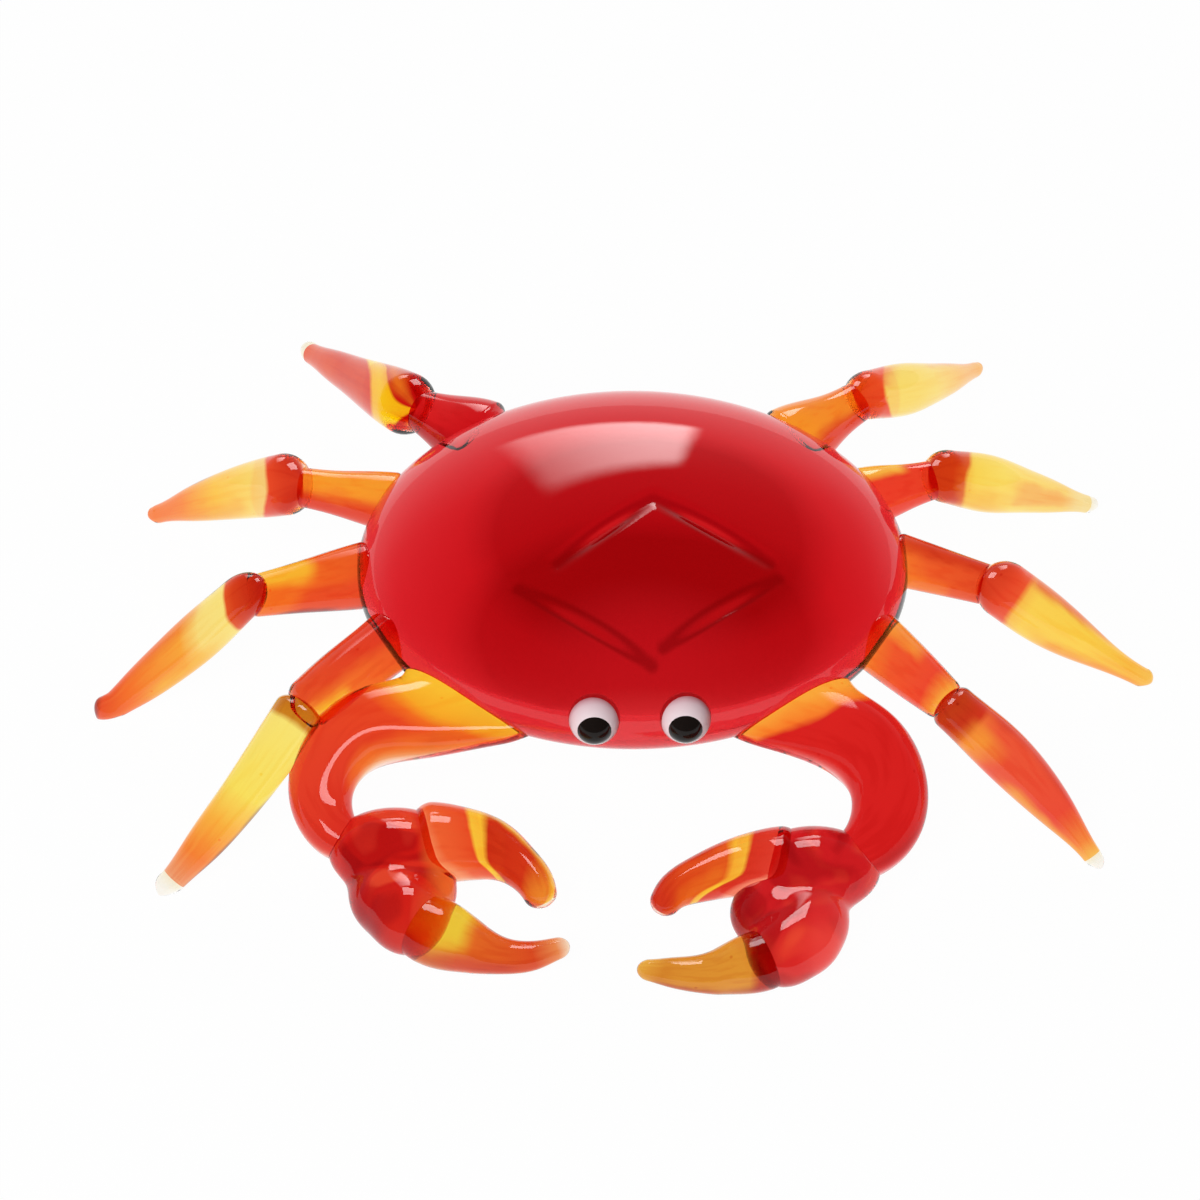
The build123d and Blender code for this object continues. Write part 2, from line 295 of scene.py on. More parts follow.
class Value:
    """A number on a material's node tree; sums with it add Math nodes."""

    def __init__(self, tree, socket):
        self.tree, self.socket = tree, socket

    def node(self, kind, settings=None, output=0, **inputs):
        """Add a node of a kind, apply its settings, fill its sockets, and wrap one output."""
        made = self.tree.nodes.new(f"ShaderNode{kind}")
        for key, setting in (settings or {}).items():
            setattr(made, key, setting)
        for key, value in inputs.items():
            number = key.rpartition("_")[2]
            target = made.inputs[int(number)] if number.isdigit() else made.inputs[key.replace("_", " ")]
            if isinstance(value, Value):
                self.tree.links.new(value.socket, target)
            else:
                target.default_value = value
        return Value(self.tree, made.outputs[output]) if made.outputs else made

    def other(self, output):
        """Another output of the node behind this value, by name or number."""
        return Value(self.tree, self.socket.node.outputs[output])

    def maths(self, operation, *values):
        """Add a Math node for an operation on numbers or other values."""
        inputs = {f"in_{index}": value for index, value in enumerate(values)}
        return self.node("Math", {"operation": operation}, **inputs)

    def __add__(self, other):
        return self.maths("ADD", self, other)

    def __radd__(self, other):
        return self.maths("ADD", other, self)

    def __sub__(self, other):
        return self.maths("SUBTRACT", self, other)

    def __rsub__(self, other):
        return self.maths("SUBTRACT", other, self)

    def __mul__(self, other):
        return self.maths("MULTIPLY", self, other)

    def __rmul__(self, other):
        return self.maths("MULTIPLY", other, self)

    def __truediv__(self, other):
        return self.maths("DIVIDE", self, other)

    def smooth(self, low, high):
        """Soft step from 0 at low to 1 at high; high may be the lesser one."""
        settings = {"interpolation_type": "SMOOTHSTEP"}
        return self.node("MapRange", settings, in_0=self, in_1=low, in_2=high)

    def window(self, low, high, soft):
        """1 between low and high, falling to 0 over a soft margin on each side."""
        return self.smooth(low - soft, low + soft) * self.smooth(high + soft, high - soft)

    def towards(self, place):
        """For a share of a full turn: its cosine from a place, 1 there and -1 on the far side."""
        return self.maths("COSINE", (self - place) * (2 * pi))

    def ramp(self, stops):
        """Colour at this share of a ramp, whose stops are a share and a colour each."""
        tint = self.node("ValToRGB", Fac=self)
        elements = tint.socket.node.color_ramp.elements
        while len(elements) < len(stops):
            elements.new(1.0)
        for element, (share, *tone) in zip(elements, stops):
            element.position, element.color = share, colour(tone)
        return tint

    def noise(self, scale, detail, **inputs):
        """Noise at this place, from 0 to 1."""
        return self.node("TexNoise", Vector=self, Scale=scale, Detail=detail, **inputs)

    def mix(self, share, other):
        """Blend this colour into another by a share."""
        other = other if isinstance(other, Value) else colour(other)
        return self.node("Mix", {"data_type": "RGBA"}, output=2, in_0=share, in_6=self, in_7=other)


print("a screen's grey of 128 as light:", round(colour((128, 128, 128))[0], 3))

# %% [markdown]
# Lampworker's glass is clear all through, so the look is refraction, colour and gloss. Real glass bends
# light by 1.5, but then so many fused joints turn black. So the body bends it less, under a coat with
# the gloss of real glass, and walls inside another piece are cleared away.


# %% Clear glass
def start_material(name):
    """New material with an empty node tree, and a value to add its nodes with."""
    material = bpy.data.materials.new(name)
    material.use_nodes = True
    material.node_tree.nodes.clear()
    return material, Value(material.node_tree, None)


def finish_glass(material, paint, tint, ripple=0.12, bend=1.15, gloss=0.5):
    """One clear glass shader with a tint, a faint haze in its gloss and a slightly uneven skin. Walls that
    lie more than 0.1 mm inside the piece that covers them are see-through."""
    place = paint.node("TexCoord", output=3)
    flow = place.noise(190.0, 2.0)
    haze = place.noise(700.0, 3.0)
    bump = paint.node("Bump", Height=flow, Strength=ripple, Distance=0.0006)
    covered = paint.node("Attribute", {"attribute_name": "covered"}, output=2)
    shader = paint.node("BsdfPrincipled", Base_Color=tint, Roughness=0.015 + 0.03 * haze, IOR=bend,
                        Normal=bump, Alpha=1 - covered.smooth(0.08, 0.12), Transmission_Weight=1.0,
                        Coat_Weight=gloss, Coat_Roughness=0.03, Coat_IOR=1.5)
    paint.node("OutputMaterial", Surface=shader)
    return material


print("materials before the glass:", len(bpy.data.materials))

# %% [markdown]
# A striped rod is several colours drawn out together. An absorbing volume can't change along a rod, so
# the skin tints what passes through: a ramp from root to tip, pulled out of line by noise as hot glass
# flows, with patches of other colours; on the arms a dark patch along an edge is painted shade. Light
# passes two walls, so most colour lies in the one that is looked at.

# %% The glass of a rod
thin_layer, thick_layer = 0.12, 1.88


def rod_glass(node, stops, patches=(), skew=0.0, skew_round=0.0, facing=0.0, warp=0.05, ripple=0.12,
              gloss=0.5):
    """Colours along a rod; each patch is (colour, from, to, place around, spread, strength). The skew leans
    the ramp. The tint is raised to a power that is high on the facing side and low on the other, so that
    no stripe is seen twice."""
    edge_along, edge_around = 0.09, 0.06
    material, paint = start_material(f"{node}_glass")
    place = paint.node("TexCoord", output=3)
    drawn = paint.node("UVMap", {"uv_map": "along_around"})
    along = paint.node("SeparateXYZ", Vector=drawn)
    around = along.other(1)
    stir = place.noise(260.0, 1.5)
    shifted = along + (stir - 0.5) * warp + around.towards(skew_round) * skew
    tint = shifted.ramp(stops)
    for tone, low, high, centre, spread, strength in patches:
        outer, inner = min(spread + edge_around, 0.5), max(spread - edge_around, 0.0)
        turned = around.towards(centre) + (stir - 0.5) * 0.4
        near = turned.smooth(cos(2 * pi * outer), cos(2 * pi * inner))
        mask = (shifted + (stir - 0.5) * 0.12).window(low, high, edge_along) * near * strength
        tint = tint.mix(mask, tone)
    ringed = [around.maths(wave, around * (2 * pi)) for wave in ("COSINE", "SINE")]
    streaks = paint.node("CombineXYZ", X=along * 2.0, Y=ringed[0] * 2.0, Z=ringed[1] * 2.0)
    grain = streaks.noise(2.0, 2.0)
    seeds = paint.node("TexVoronoi", Vector=place, Scale=330.0)
    twice = {"data_type": "RGBA", "blend_type": "MULTIPLY"}
    deep = paint.node("Mix", twice, output=2, in_0=1.0, in_6=tint, in_7=tint)
    specks = grain.window(0.56, 0.9, 0.1) * 0.2 + seeds.window(-1.0, 0.055, 0.012) * 0.45
    tint = tint.mix(specks, deep)
    layer = thin_layer + (thick_layer - thin_layer) * around.towards(facing).smooth(-0.35, 0.35)
    tint = paint.node("VectorMath", {"operation": "POWER"}, in_0=tint, in_1=layer)
    return finish_glass(material, paint, tint, ripple, gloss=gloss)


print("share of the colour in the facing wall:", thick_layer / (thin_layer + thick_layer))

# %% [markdown]
# The shell is one big gather, flattened while soft: a half ellipsoid above the rim and a flatter one
# below. A sphere could be squeezed into that shape, but four creases are pressed into the dome with a
# tool's edge, so it is worked out point by point and sinks along those lines.

# %% Shape of the shell
shell_centre = np.array([0.74, 2.67, 13.0])
shell_half = np.array([30.5, 24.4])
dome_height, belly_depth = 12.0, 9.0
creases = np.array([
    [(-8.2, -8.2), (2.2, 0.2)],
    [(2.2, 0.2), (14.8, -7.3)],
    [(15.8, -9.0), (3.2, -17.8)],
    [(-12.4, -10.8), (2.0, -19.5)],
])


def crease_sink(x, y):
    """Depth of the pressed lines at places seen from above: a bell-shaped trough, less a low bell on each
    side for a raised lip, shallower towards the ends of a line."""
    spot = np.stack([x, y], -1)[..., None, :]
    start, run = creases[:, 0], creases[:, 1] - creases[:, 0]
    share = np.clip(((spot - start) * run).sum(-1) / (run**2).sum(-1), 0, 1)
    away = lengths(spot - start - share[..., None] * run)
    swell = 0.35 + 0.65 * np.sin(pi * np.clip(share, 0.06, 0.94))
    groove, groove_width = 0.62, 0.95
    lip, lip_away, lip_width = 0.07, 2.1, 0.8
    trough = groove * np.exp(-((away / groove_width) ** 2))
    trough = trough - lip * np.exp(-(((away - lip_away) / lip_width) ** 2))
    return (trough * swell).max(-1)


def shell_rings(stations=181, around=320):
    """Lens: ellipses whose size follows a half circle from belly to dome, with the creases sunk in."""
    rise = np.linspace(-pi / 2, pi / 2, stations)[:, None]
    turn = 2 * pi * np.arange(around)[None, :] / around
    x = shell_half[0] * np.cos(rise) * np.cos(turn)
    y = shell_half[1] * np.cos(rise) * np.sin(turn)
    height = np.where(rise > 0, dome_height, belly_depth) * np.sin(rise)
    sink = np.where(rise > 0, crease_sink(x, y), 0)
    return np.stack([x, y, height - sink], -1) + shell_centre


def shell_depth(spots):
    """How deep spots lie in the lens, about: the dome's height times 1 less the share of the way out."""
    away = spots - shell_centre
    rise = away[..., 2] / np.where(away[..., 2] > 0, dome_height, belly_depth)
    return (1 - np.hypot(lengths(away[..., :2] / shell_half), rise)) * dome_height


print("deepest crease:", crease_sink(*creases.mean(1).T).max().round(2), "mm")

# %% [markdown]
# The shell's red is darkest in the middle, where the lens is thick. A volume would do that by itself,
# but a painted distance can be set apart from the rim. Behind the eyes a lighter patch is painted light
# from the front, and the creases get painted shade on their slopes and painted light along the bottom.


# %% Glass of the shell
def scaled_distance(paint, place, centre, scales):
    """Distance of a place from a centre in mm, with each axis times its own scale."""
    moves = {"SUBTRACT": tuple(centre * MM), "MULTIPLY": scales}
    for operation, vector in moves.items():
        place = paint.node("VectorMath", {"operation": operation}, in_0=place, in_1=vector)
    return paint.node("VectorMath", {"operation": "LENGTH"}, output=1, in_0=place)


def shell_glass():
    """Deep red: darkest in the middle where the lens is thick, clearer towards the rim."""
    material, paint = start_material("shell_red")
    place = paint.node("TexCoord", output=3)
    reach = scaled_distance(paint, place, shell_centre + [1.5, -4.0, 0], (32.0, 43.0, 0.0))
    cloud = place.noise(55.0, 2.0)
    stops = [(0.0, 156, 2, 6), (0.54, 160, 4, 8), (0.66, 205, 19, 26), (0.9, 222, 32, 40),
             (1.0, 228, 52, 58)]
    tint = (reach + (cloud - 0.5) * 0.12).ramp(stops)
    # Painted light from the front: a lighter red patch on the shell behind the eyes.
    front_light_reach = scaled_distance(paint, place, shell_centre + [1.6, -19.0, 0], (62.0, 100.0, 0.0))
    tint = tint.mix(front_light_reach.window(-1.0, 0.5, 0.45) * 0.85, (232, 50, 54))
    pressed = paint.node("Attribute", {"attribute_name": "pressed"}, output=2)
    # Painted shade on the slopes of the creases, and painted light along their bottoms.
    tint = tint.mix(pressed.window(0.18, 0.42, 0.1) * 0.7, (112, 0, 2))
    tint = tint.mix(pressed.window(0.52, 2.0, 0.08) * 0.8, (214, 30, 32))
    return finish_glass(material, paint, tint, ripple=0.05, bend=1.2)


def dome_sink(spots):
    """Depth of the creases at spots on the dome, and 0 on the belly."""
    x, y, height = (spots - shell_centre).T
    return np.where(height > 0, crease_sink(x, y), 0)


shell = skin("shell", shell_rings(), shell_glass())
mark(shell, "pressed", dome_sink)
print("shell:", len(shell.data.polygons), "faces")

# %% [markdown]
# Each walking leg is two rods: the upper one is flared where it is fused to the rim, the lower one has
# a swollen knee and is drawn out to a foot. Points could be typed in one by one, but here they follow
# from a bearing on the rim and level headings, as the solids have them.


# %% Where the legs run
def level(heading, reach):
    """Level step of a reach in a heading, in degrees from +X."""
    return np.array([reach * cos(radians(heading)), reach * sin(radians(heading)), 0])


def rim_place(bearing):
    """Where a bearing from the shell's centre meets its rim, an ellipse."""
    towards = level(bearing, 1.0)
    return shell_centre + towards / np.hypot(towards[0] / shell_half[0], towards[1] / shell_half[1])


lower_shares = np.array([0.0, 0.25, 0.5, 0.72, 0.92])
root_sunk, root_flare, knee_rise, foot_height = 2.5, 1.05, 0.3, 0.1
drop_lengths = {"rear_left": 2.2, "front_left": 2.4, "mid_rear_right": 1.8, "front_right": 1.8}
# Per leg: bearing; reach, heading and widths above the knee; the same below it; knee, sweep and arch.
leg_runs = {
    "rear_left": (132, 9.1, 149, (9.0, 6.2, 3.9), 24.0, 122, (7.2, 6.2, 4.7, 3.6, 2.5), 2.8, 0.0, 0.0),
    "mid_rear_left": (160, 11.3, 169, (6.6, 5.0, 4.3), 17.7, 158, (7.0, 6.4, 5.2, 3.7, 2.2), 2.8, -0.3,
                      0.2),
    "mid_front_left": (182, 13.2, 195, (7.3, 5.7, 4.4), 17.5, 201, (5.0, 5.5, 5.0, 4.0, 2.9), 3.6,
                       -0.4, -1.2),
    "front_left": (202, 13.2, 227, (6.8, 6.6, 5.6), 21.1, 224, (5.6, 5.4, 4.8, 4.0, 2.8), 1.6, 0.7,
                   0.0),
    "rear_right": (46, 10.5, 38, (8.4, 5.6, 4.5), 21.5, 49, (5.6, 6.1, 4.8, 3.3, 1.9), 3.0, -0.6, 0.0),
    "mid_rear_right": (22, 8.4, 17, (6.6, 5.0, 4.2), 19.5, 21, (6.0, 6.6, 5.2, 3.6, 2.1), 2.8, 0.2,
                       0.0),
    "mid_front_right": (2, 11.4, 338, (5.8, 5.0, 4.3), 17.2, 352, (6.4, 6.2, 4.8, 3.1, 2.3), 3.2, -0.3,
                        -0.3),
    "front_right": (338, 11.6, 310, (6.6, 5.7, 4.4), 20.1, 324, (5.2, 5.8, 5.3, 3.7, 2.1), 1.6, 0.9,
                    0.0),
}


def leg_paths(name):
    """Points and widths of a leg's two rods, and the lengths of its round ends. Below the knee the path is
    pushed aside by 4 times the share times what is left of it."""
    bearing, out, heading, upper_widths, away, turned, lower_widths, head, sweep, arch = leg_runs[name]
    rim = rim_place(bearing)
    knee = rim + level(heading, out) + [0, 0, knee_rise]
    foot = knee + level(turned, away)
    foot[2] = foot_height
    bend = level(turned + 90, sweep) + [0, 0, arch]
    upper = [rim - unit(knee - rim) * root_sunk, rim, (rim + knee) / 2, knee]
    share = lower_shares[:, None]
    lower = knee + (foot - knee) * share + bend * (4 * share * (1 - share))
    lower = np.vstack([knee - unit(lower[1] - knee) * head, lower, foot])
    upper_widths = (upper_widths[0] * root_flare,) + upper_widths
    lower_widths = (lower_widths[0],) + lower_widths + (lower_widths[-1],)
    return upper, upper_widths, lower, lower_widths, head, lengths(foot - lower[-2])


print("feet with drops:", len(drop_lengths))

# %% [markdown]
# No two legs are alike, because each was made from its own rod. One list of colours would be shorter,
# but each leg gets its own: a ramp and patches. Below the knees the ramp also leans, because the yellow
# begins on a slant.

# %% Colours of the legs, from root to tip
upper_colours = {
    "rear_left": (
        [(0.0, 206, 20, 26), (1.0, 224, 36, 36)],
        [((168, 8, 16), -0.1, 1.1, 0.3, 0.14, 0.7)]),
    "mid_rear_left": (
        [(0.0, 246, 108, 40), (1.0, 250, 134, 48)],
        [((253, 164, 46), -0.1, 1.1, 0.02, 0.09, 0.9), ((226, 58, 38), -0.1, 1.1, 0.31, 0.14, 0.95)]),
    "mid_front_left": (
        [(0.0, 238, 88, 36), (0.5, 244, 104, 36), (1.0, 248, 120, 36)],
        [((254, 192, 50), 0.55, 1.1, 0.93, 0.14, 0.95), ((234, 72, 40), -0.1, 0.6, 0.26, 0.1, 0.8),
         ((130, 20, 22), -0.1, 0.75, 0.38, 0.05, 0.9)]),
    "front_left": (
        [(0.0, 240, 90, 40), (0.5, 246, 112, 44), (1.0, 250, 140, 50)],
        [((226, 48, 36), -0.1, 1.1, 0.93, 0.15, 0.8), ((254, 206, 56), 0.6, 1.1, 0.28, 0.12, 0.95)]),
    "rear_right": (
        [(0.0, 250, 150, 40), (1.0, 246, 130, 40)],
        [((224, 50, 38), -0.1, 0.95, 0.71, 0.15, 0.95)]),
    "mid_rear_right": (
        [(0.0, 241, 64, 42), (1.0, 236, 66, 38)],
        [((254, 204, 70), -0.1, 0.6, 0.1, 0.08, 0.95)]),
    "mid_front_right": (
        [(0.0, 248, 120, 44), (0.3, 242, 96, 42), (1.0, 232, 78, 38)],
        [((212, 54, 26), -0.1, 1.1, 0.08, 0.1, 0.85), ((250, 132, 46), -0.1, 0.5, 0.7, 0.1, 0.7)]),
    "front_right": (
        [(0.0, 250, 130, 46), (0.3, 244, 90, 46), (0.75, 242, 76, 48), (0.9, 250, 140, 56),
         (1.0, 253, 190, 70)],
        [((253, 160, 60), -0.1, 0.55, 0.08, 0.06, 0.8)]),
}
lower_colours = {
    "rear_left": (
        [(0.0, 196, 14, 14), (0.265, 206, 24, 16), (0.285, 255, 212, 20), (0.36, 255, 226, 30),
         (0.43, 255, 214, 24), (0.47, 228, 66, 24), (0.75, 224, 62, 24), (1.0, 234, 92, 50)],
        [((244, 140, 34), 0.12, 0.26, 0.95, 0.12, 0.85)],
        -0.293, 0.712),
    "mid_rear_left": (
        [(0.0, 196, 36, 22), (0.14, 214, 54, 30), (0.24, 236, 76, 40), (0.262, 252, 222, 130),
         (0.36, 254, 216, 104), (0.6, 254, 200, 66), (0.85, 252, 140, 60), (1.0, 251, 140, 72)],
        [((150, 50, 20), 0.6, 0.85, 0.86, 0.06, 0.8), ((252, 150, 60), 0.4, 0.9, 0.3, 0.08, 0.4)],
        -0.15, 0.61),
    "mid_front_left": (
        [(0.0, 190, 34, 18), (0.12, 214, 58, 24), (0.165, 228, 80, 34), (0.185, 252, 228, 128),
         (0.34, 252, 226, 130), (0.46, 252, 170, 62), (0.8, 250, 124, 52), (0.95, 238, 92, 50),
         (1.0, 150, 40, 36)],
        [((238, 90, 44), 0.38, 0.95, 0.9, 0.11, 0.5), ((252, 190, 70), 0.3, 0.7, 0.3, 0.09, 0.8)],
        -0.055, 0.36),
    "front_left": (
        [(0.0, 196, 110, 24), (0.1, 206, 130, 32), (0.13, 252, 230, 116), (0.5, 252, 226, 96),
         (0.66, 253, 180, 66), (0.85, 250, 140, 60), (1.0, 241, 160, 116)],
        [((130, 50, 18), 0.45, 0.95, 0.36, 0.06, 0.85), ((224, 90, 30), -0.1, 0.1, 0.3, 0.1, 0.8)],
        0.0, 0.0),
    "rear_right": (
        [(0.0, 214, 70, 26), (0.15, 228, 70, 30), (0.235, 238, 76, 38), (0.255, 251, 220, 104),
         (0.6, 252, 222, 112), (0.86, 252, 196, 108), (1.0, 250, 190, 110)],
        [((246, 150, 80), 0.6, 0.98, 0.1, 0.08, 0.7), ((240, 84, 38), 0.2, 0.29, 0.99, 0.045, 0.9)],
        -0.155, 0.36),
    "mid_rear_right": (
        [(0.0, 200, 50, 16), (0.18, 212, 60, 18), (0.235, 226, 90, 30), (0.26, 252, 214, 84),
         (0.45, 254, 224, 104), (0.9, 252, 212, 110), (1.0, 250, 222, 150)],
        [((248, 160, 84), 0.55, 0.95, 0.84, 0.04, 0.6), ((250, 180, 70), 0.26, 0.5, 0.72, 0.08, 0.6)],
        -0.117, 0.36),
    "mid_front_right": (
        [(0.0, 196, 44, 18), (0.14, 234, 74, 42), (0.2, 240, 86, 48), (0.235, 252, 196, 80),
         (0.3, 254, 212, 84), (0.62, 254, 210, 76), (0.9, 253, 190, 70), (1.0, 252, 196, 86)],
        [((232, 90, 48), 0.2, 0.7, 0.1, 0.08, 0.85), ((250, 140, 56), 0.4, 0.95, 0.68, 0.08, 0.7)],
        -0.063, 0.38),
    "front_right": (
        [(0.0, 190, 40, 20), (0.05, 196, 60, 24), (0.17, 206, 50, 28), (0.2, 240, 110, 54),
         (0.28, 240, 90, 56), (0.75, 240, 80, 56), (0.92, 250, 140, 66), (1.0, 252, 190, 90)],
        [((252, 164, 56), 0.19, 0.32, 0.78, 0.13, 0.9), ((252, 176, 70), 0.5, 1.0, 0.68, 0.09, 0.8),
         ((214, 56, 34), 0.15, 0.7, 0.12, 0.08, 0.7)],
        0.0, 0.0),
}
foot_stops = [(0.0, 250, 240, 212), (0.4, 252, 248, 236), (1.0, 254, 250, 244)]
print("patches below the knees:", sum(len(entry[1]) for entry in lower_colours.values()))

# %% [markdown]
# The upper rod is cut at the shell and at the knee and stays open at both ends. Four feet end in a drop
# of clear glass. It could be a bead, but it is drawn out of the same rod, so the rod's last rings are
# its skin.

# %% Legs and feet
for name in leg_runs:
    upper, upper_widths, lower, lower_widths, head, toe = leg_paths(name)
    stops, patches = upper_colours[name]
    facing = 0.11 if name.endswith("left") else 0.89
    thigh = rod_glass(f"upper_leg_{name}", stops, patches, facing=facing)
    rings = drawn_rod(upper, upper_widths, start_round=1.5, end_round=1.8)
    knee_depth = rod_depth(rings, lower, lower_widths, drawn_start=True)
    rings = outside_run(rings, np.maximum(shell_depth(rings), knee_depth))
    skin(f"upper_leg_{name}", rings, thigh, poles=(False, False))
    stops, patches, skew, skew_round = lower_colours[name]
    shin = rod_glass(f"lower_leg_{name}", stops, patches, skew, skew_round, facing)
    rings = drawn_rod(lower, lower_widths, start_round=head, end_round=toe)
    dropped = name in drop_lengths
    if dropped:
        away = lengths(rings.mean(1) - rings[-1].mean(0))
        cut = int(np.argmin(np.abs(away - drop_lengths[name])))
        clear = rod_glass(f"foot_drop_{name}", foot_stops, ripple=0.05)
        skin(f"foot_drop_{name}", rings[cut:], clear, poles=(False, True))
        rings = rings[: cut + 1]
    skin(f"lower_leg_{name}", rings, shin, poles=(True, not dropped))
print("legs:", len(leg_runs))

# %% [markdown]
# The arms are the thickest rods. Each is fused to the shell as a wide fan, bends round to the front and
# thins towards the wrist. One claw could be mirrored, but the two differ, so each has its own steps
# inwards and forwards from its wrist.

# %% Where the arms and claws run
# Per arm: hand, bearing of its root, steps (outwards, forwards) and heights of its bends, widths.
arm_runs = {
    "left": (
        -1, 224.5,
        ((4.2, 0.6), (10.0, 2.0), (13.9, 5.6), (14.5, 9.0), (12.3, 12.4)),
        (11.4, 10.7, 8.9, 6.9, 5.2),
        (17.4, 15.8, 10.5, 8.9, 7.8, 6.8, 5.4, 4.6)),
    "right": (
        1, 313.5,
        ((2.9, 1.2), (6.9, 4.2), (9.1, 7.8), (8.9, 11.0), (5.9, 14.2)),
        (11.4, 10.8, 9.0, 7.2, 5.4),
        (16.4, 14.8, 10.5, 9.2, 8.5, 8.0, 6.2, 4.8)),
}
# Per claw: web; steps and widths of the front finger and where it leaves the palm; those of the back one.
claw_runs = {
    "left": (
        (6.9, 6.0),
        ((5.0, 4.6), (5.4, 7.2), (7.4, 9.7), (10.6, 11.8), (14.3, 13.0), (17.4, 13.8), (20.8, 13.8),
         (23.3, 12.9), (24.7, 12.4)),
        (6.4, 7.8, 8.4, 7.8, 6.0, 4.2, 3.3, 2.5, 2.2),
        3,
        ((7.0, 0.9), (10.0, 0.7), (12.8, 0.8), (16.3, 1.6), (19.2, 3.7), (20.9, 5.9), (21.9, 8.9)),
        (8.8, 9.0, 8.2, 6.8, 4.9, 4.2, 3.2)),
    "right": (
        (8.4, 6.6),
        ((5.0, 5.6), (5.2, 8.0), (6.2, 10.2), (8.4, 11.8), (11.4, 13.0), (14.8, 13.6), (17.5, 13.9),
         (20.5, 13.7), (22.8, 13.4), (24.0, 13.2)),
        (6.4, 7.6, 7.8, 7.6, 6.8, 5.4, 4.2, 3.3, 2.4, 2.1),
        4,
        ((5.6, 1.5), (8.4, 1.3), (11.0, 1.3), (14.0, 1.9), (17.0, 3.1), (20.0, 4.9), (21.6, 7.6)),
        (8.2, 8.4, 7.4, 6.2, 5.2, 4.0, 2.8)),
}
lobe_steps = {"left": (5.8, 1.4), "right": (4.9, 1.6)}
lobe_half = np.array([7.2, 4.7, 4.8])
web_half = np.array([5.6, 5.0, 3.6])
floor_cut, finger_height, lowest_axis = 0.25, 5.0, 2.4
fan_thicknesses = (5.6, 6.4, 7.6)
shoulder_drop, root_depth = 1.5, 7.5
arm_paths, wrists = {}, {}
for name, (hand, bearing, steps, heights, widths) in arm_runs.items():
    shoulder = rim_place(bearing) - [0, 0, shoulder_drop]
    inner = shoulder - level(bearing, root_depth)
    bends = [[shoulder[0] + hand * out, shoulder[1] - ahead, z] for (out, ahead), z in zip(steps, heights)]
    wrists[name] = np.array(bends[-1])
    inwards, ahead = lobe_steps[name]
    lobe = [wrists[name][0] - hand * inwards, wrists[name][1] - ahead, lobe_half[2] - floor_cut]
    arm_paths[name] = np.array([inner, (inner + bends[0]) / 2] + bends + [(wrists[name] + lobe) / 2])


def arm_thicknesses(name):
    """An arm's section is oval at the fan and round after it."""
    return fan_thicknesses + arm_runs[name][4][len(fan_thicknesses) :]


def claw_places(name, steps, heights):
    """Places of a claw from steps inwards and forwards of its wrist."""
    hand = arm_runs[name][0]
    steps = np.asarray(steps)
    x = wrists[name][0] - hand * steps[..., 0]
    y = wrists[name][1] - steps[..., 1]
    return np.stack([x, y, np.broadcast_to(heights, x.shape)], -1)


def horn_places(name):
    """Places of the front finger and its root: as high as half their width, less the flat underneath."""
    steps, widths = claw_runs[name][1:3]
    return claw_places(name, steps, np.maximum(np.array(widths) / 2 - floor_cut, lowest_axis))


print("wrists:", {key: place.round(1).tolist() for key, place in wrists.items()})

# %% [markdown]
# A palm is a gather of blobs that have run together: a rear lobe, a web and the thick root of the front
# finger. Metaballs would melt them too, but their skin is coarse. Here rays leave the palm's middle in
# all directions, and halving steps find where each crosses the blended skin.


# %% Shape of the palms
def palm_depth(name, spots, melt=0.55):
    """How deep spots lie in a palm: the soft greatest of the depths in its blobs, which is the logarithm of
    the sum of their exponentials."""
    web, _, widths, joint = claw_runs[name][:4]
    lobe = claw_places(name, lobe_steps[name], lobe_half[2] - floor_cut)
    middle = claw_places(name, web, web_half[2] - floor_cut)
    sizes = np.array(widths[:joint]) / 2
    blobs = [(1 - lengths((spots - lobe) / lobe_half)) * lobe_half.min(),
             (1 - lengths((spots - middle) / web_half)) * web_half.min()]
    chain = sizes - lengths(spots[..., None, :] - horn_places(name)[:joint])
    every = np.concatenate([np.stack(blobs, -1), chain], -1)
    return melt * np.log(np.exp(every / melt).sum(-1))


def palm_rings(name, stations=97, around=128, farthest=16.0, halvings=26, soft_floor=0.2):
    """Rays from the web's middle, each stopped by halving where the depth in the palm is 0. Near the table
    a height becomes the logarithm of 1 plus its exponential, which stays above 0."""
    middle = claw_places(name, claw_runs[name][0], web_half[2] - floor_cut)
    rise = np.linspace(0, pi, stations)[:, None]
    turn = 2 * pi * np.arange(around)[None, :] / around
    flat = np.sin(rise)
    rays = np.stack([flat * np.cos(turn), flat * np.sin(turn), np.cos(rise) + 0 * turn], -1)
    near = np.zeros(rays.shape[:2])
    far = np.full(rays.shape[:2], farthest)
    for _ in range(halvings):
        half = (near + far) / 2
        inside = palm_depth(name, middle + rays * half[..., None]) > 0
        near, far = np.where(inside, half, near), np.where(inside, far, half)
    rings = middle + rays * near[..., None]
    low, high = (np.array(corner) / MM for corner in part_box(f"palm_{name}"))
    rings[..., 2] = soft_floor * np.log1p(np.exp(rings[..., 2] / soft_floor))
    return np.clip(rings, low, high)


print("palm blobs:", {name: 2 + run[3] for name, run in claw_runs.items()})

# %% [markdown]
# The palms are red with darker and lighter clouds where two tones were twisted together. A picture
# could hold that swirl, but noise that is bent by other noise flows in the same way. Two more tones lie
# at the inner side and at the outer front.


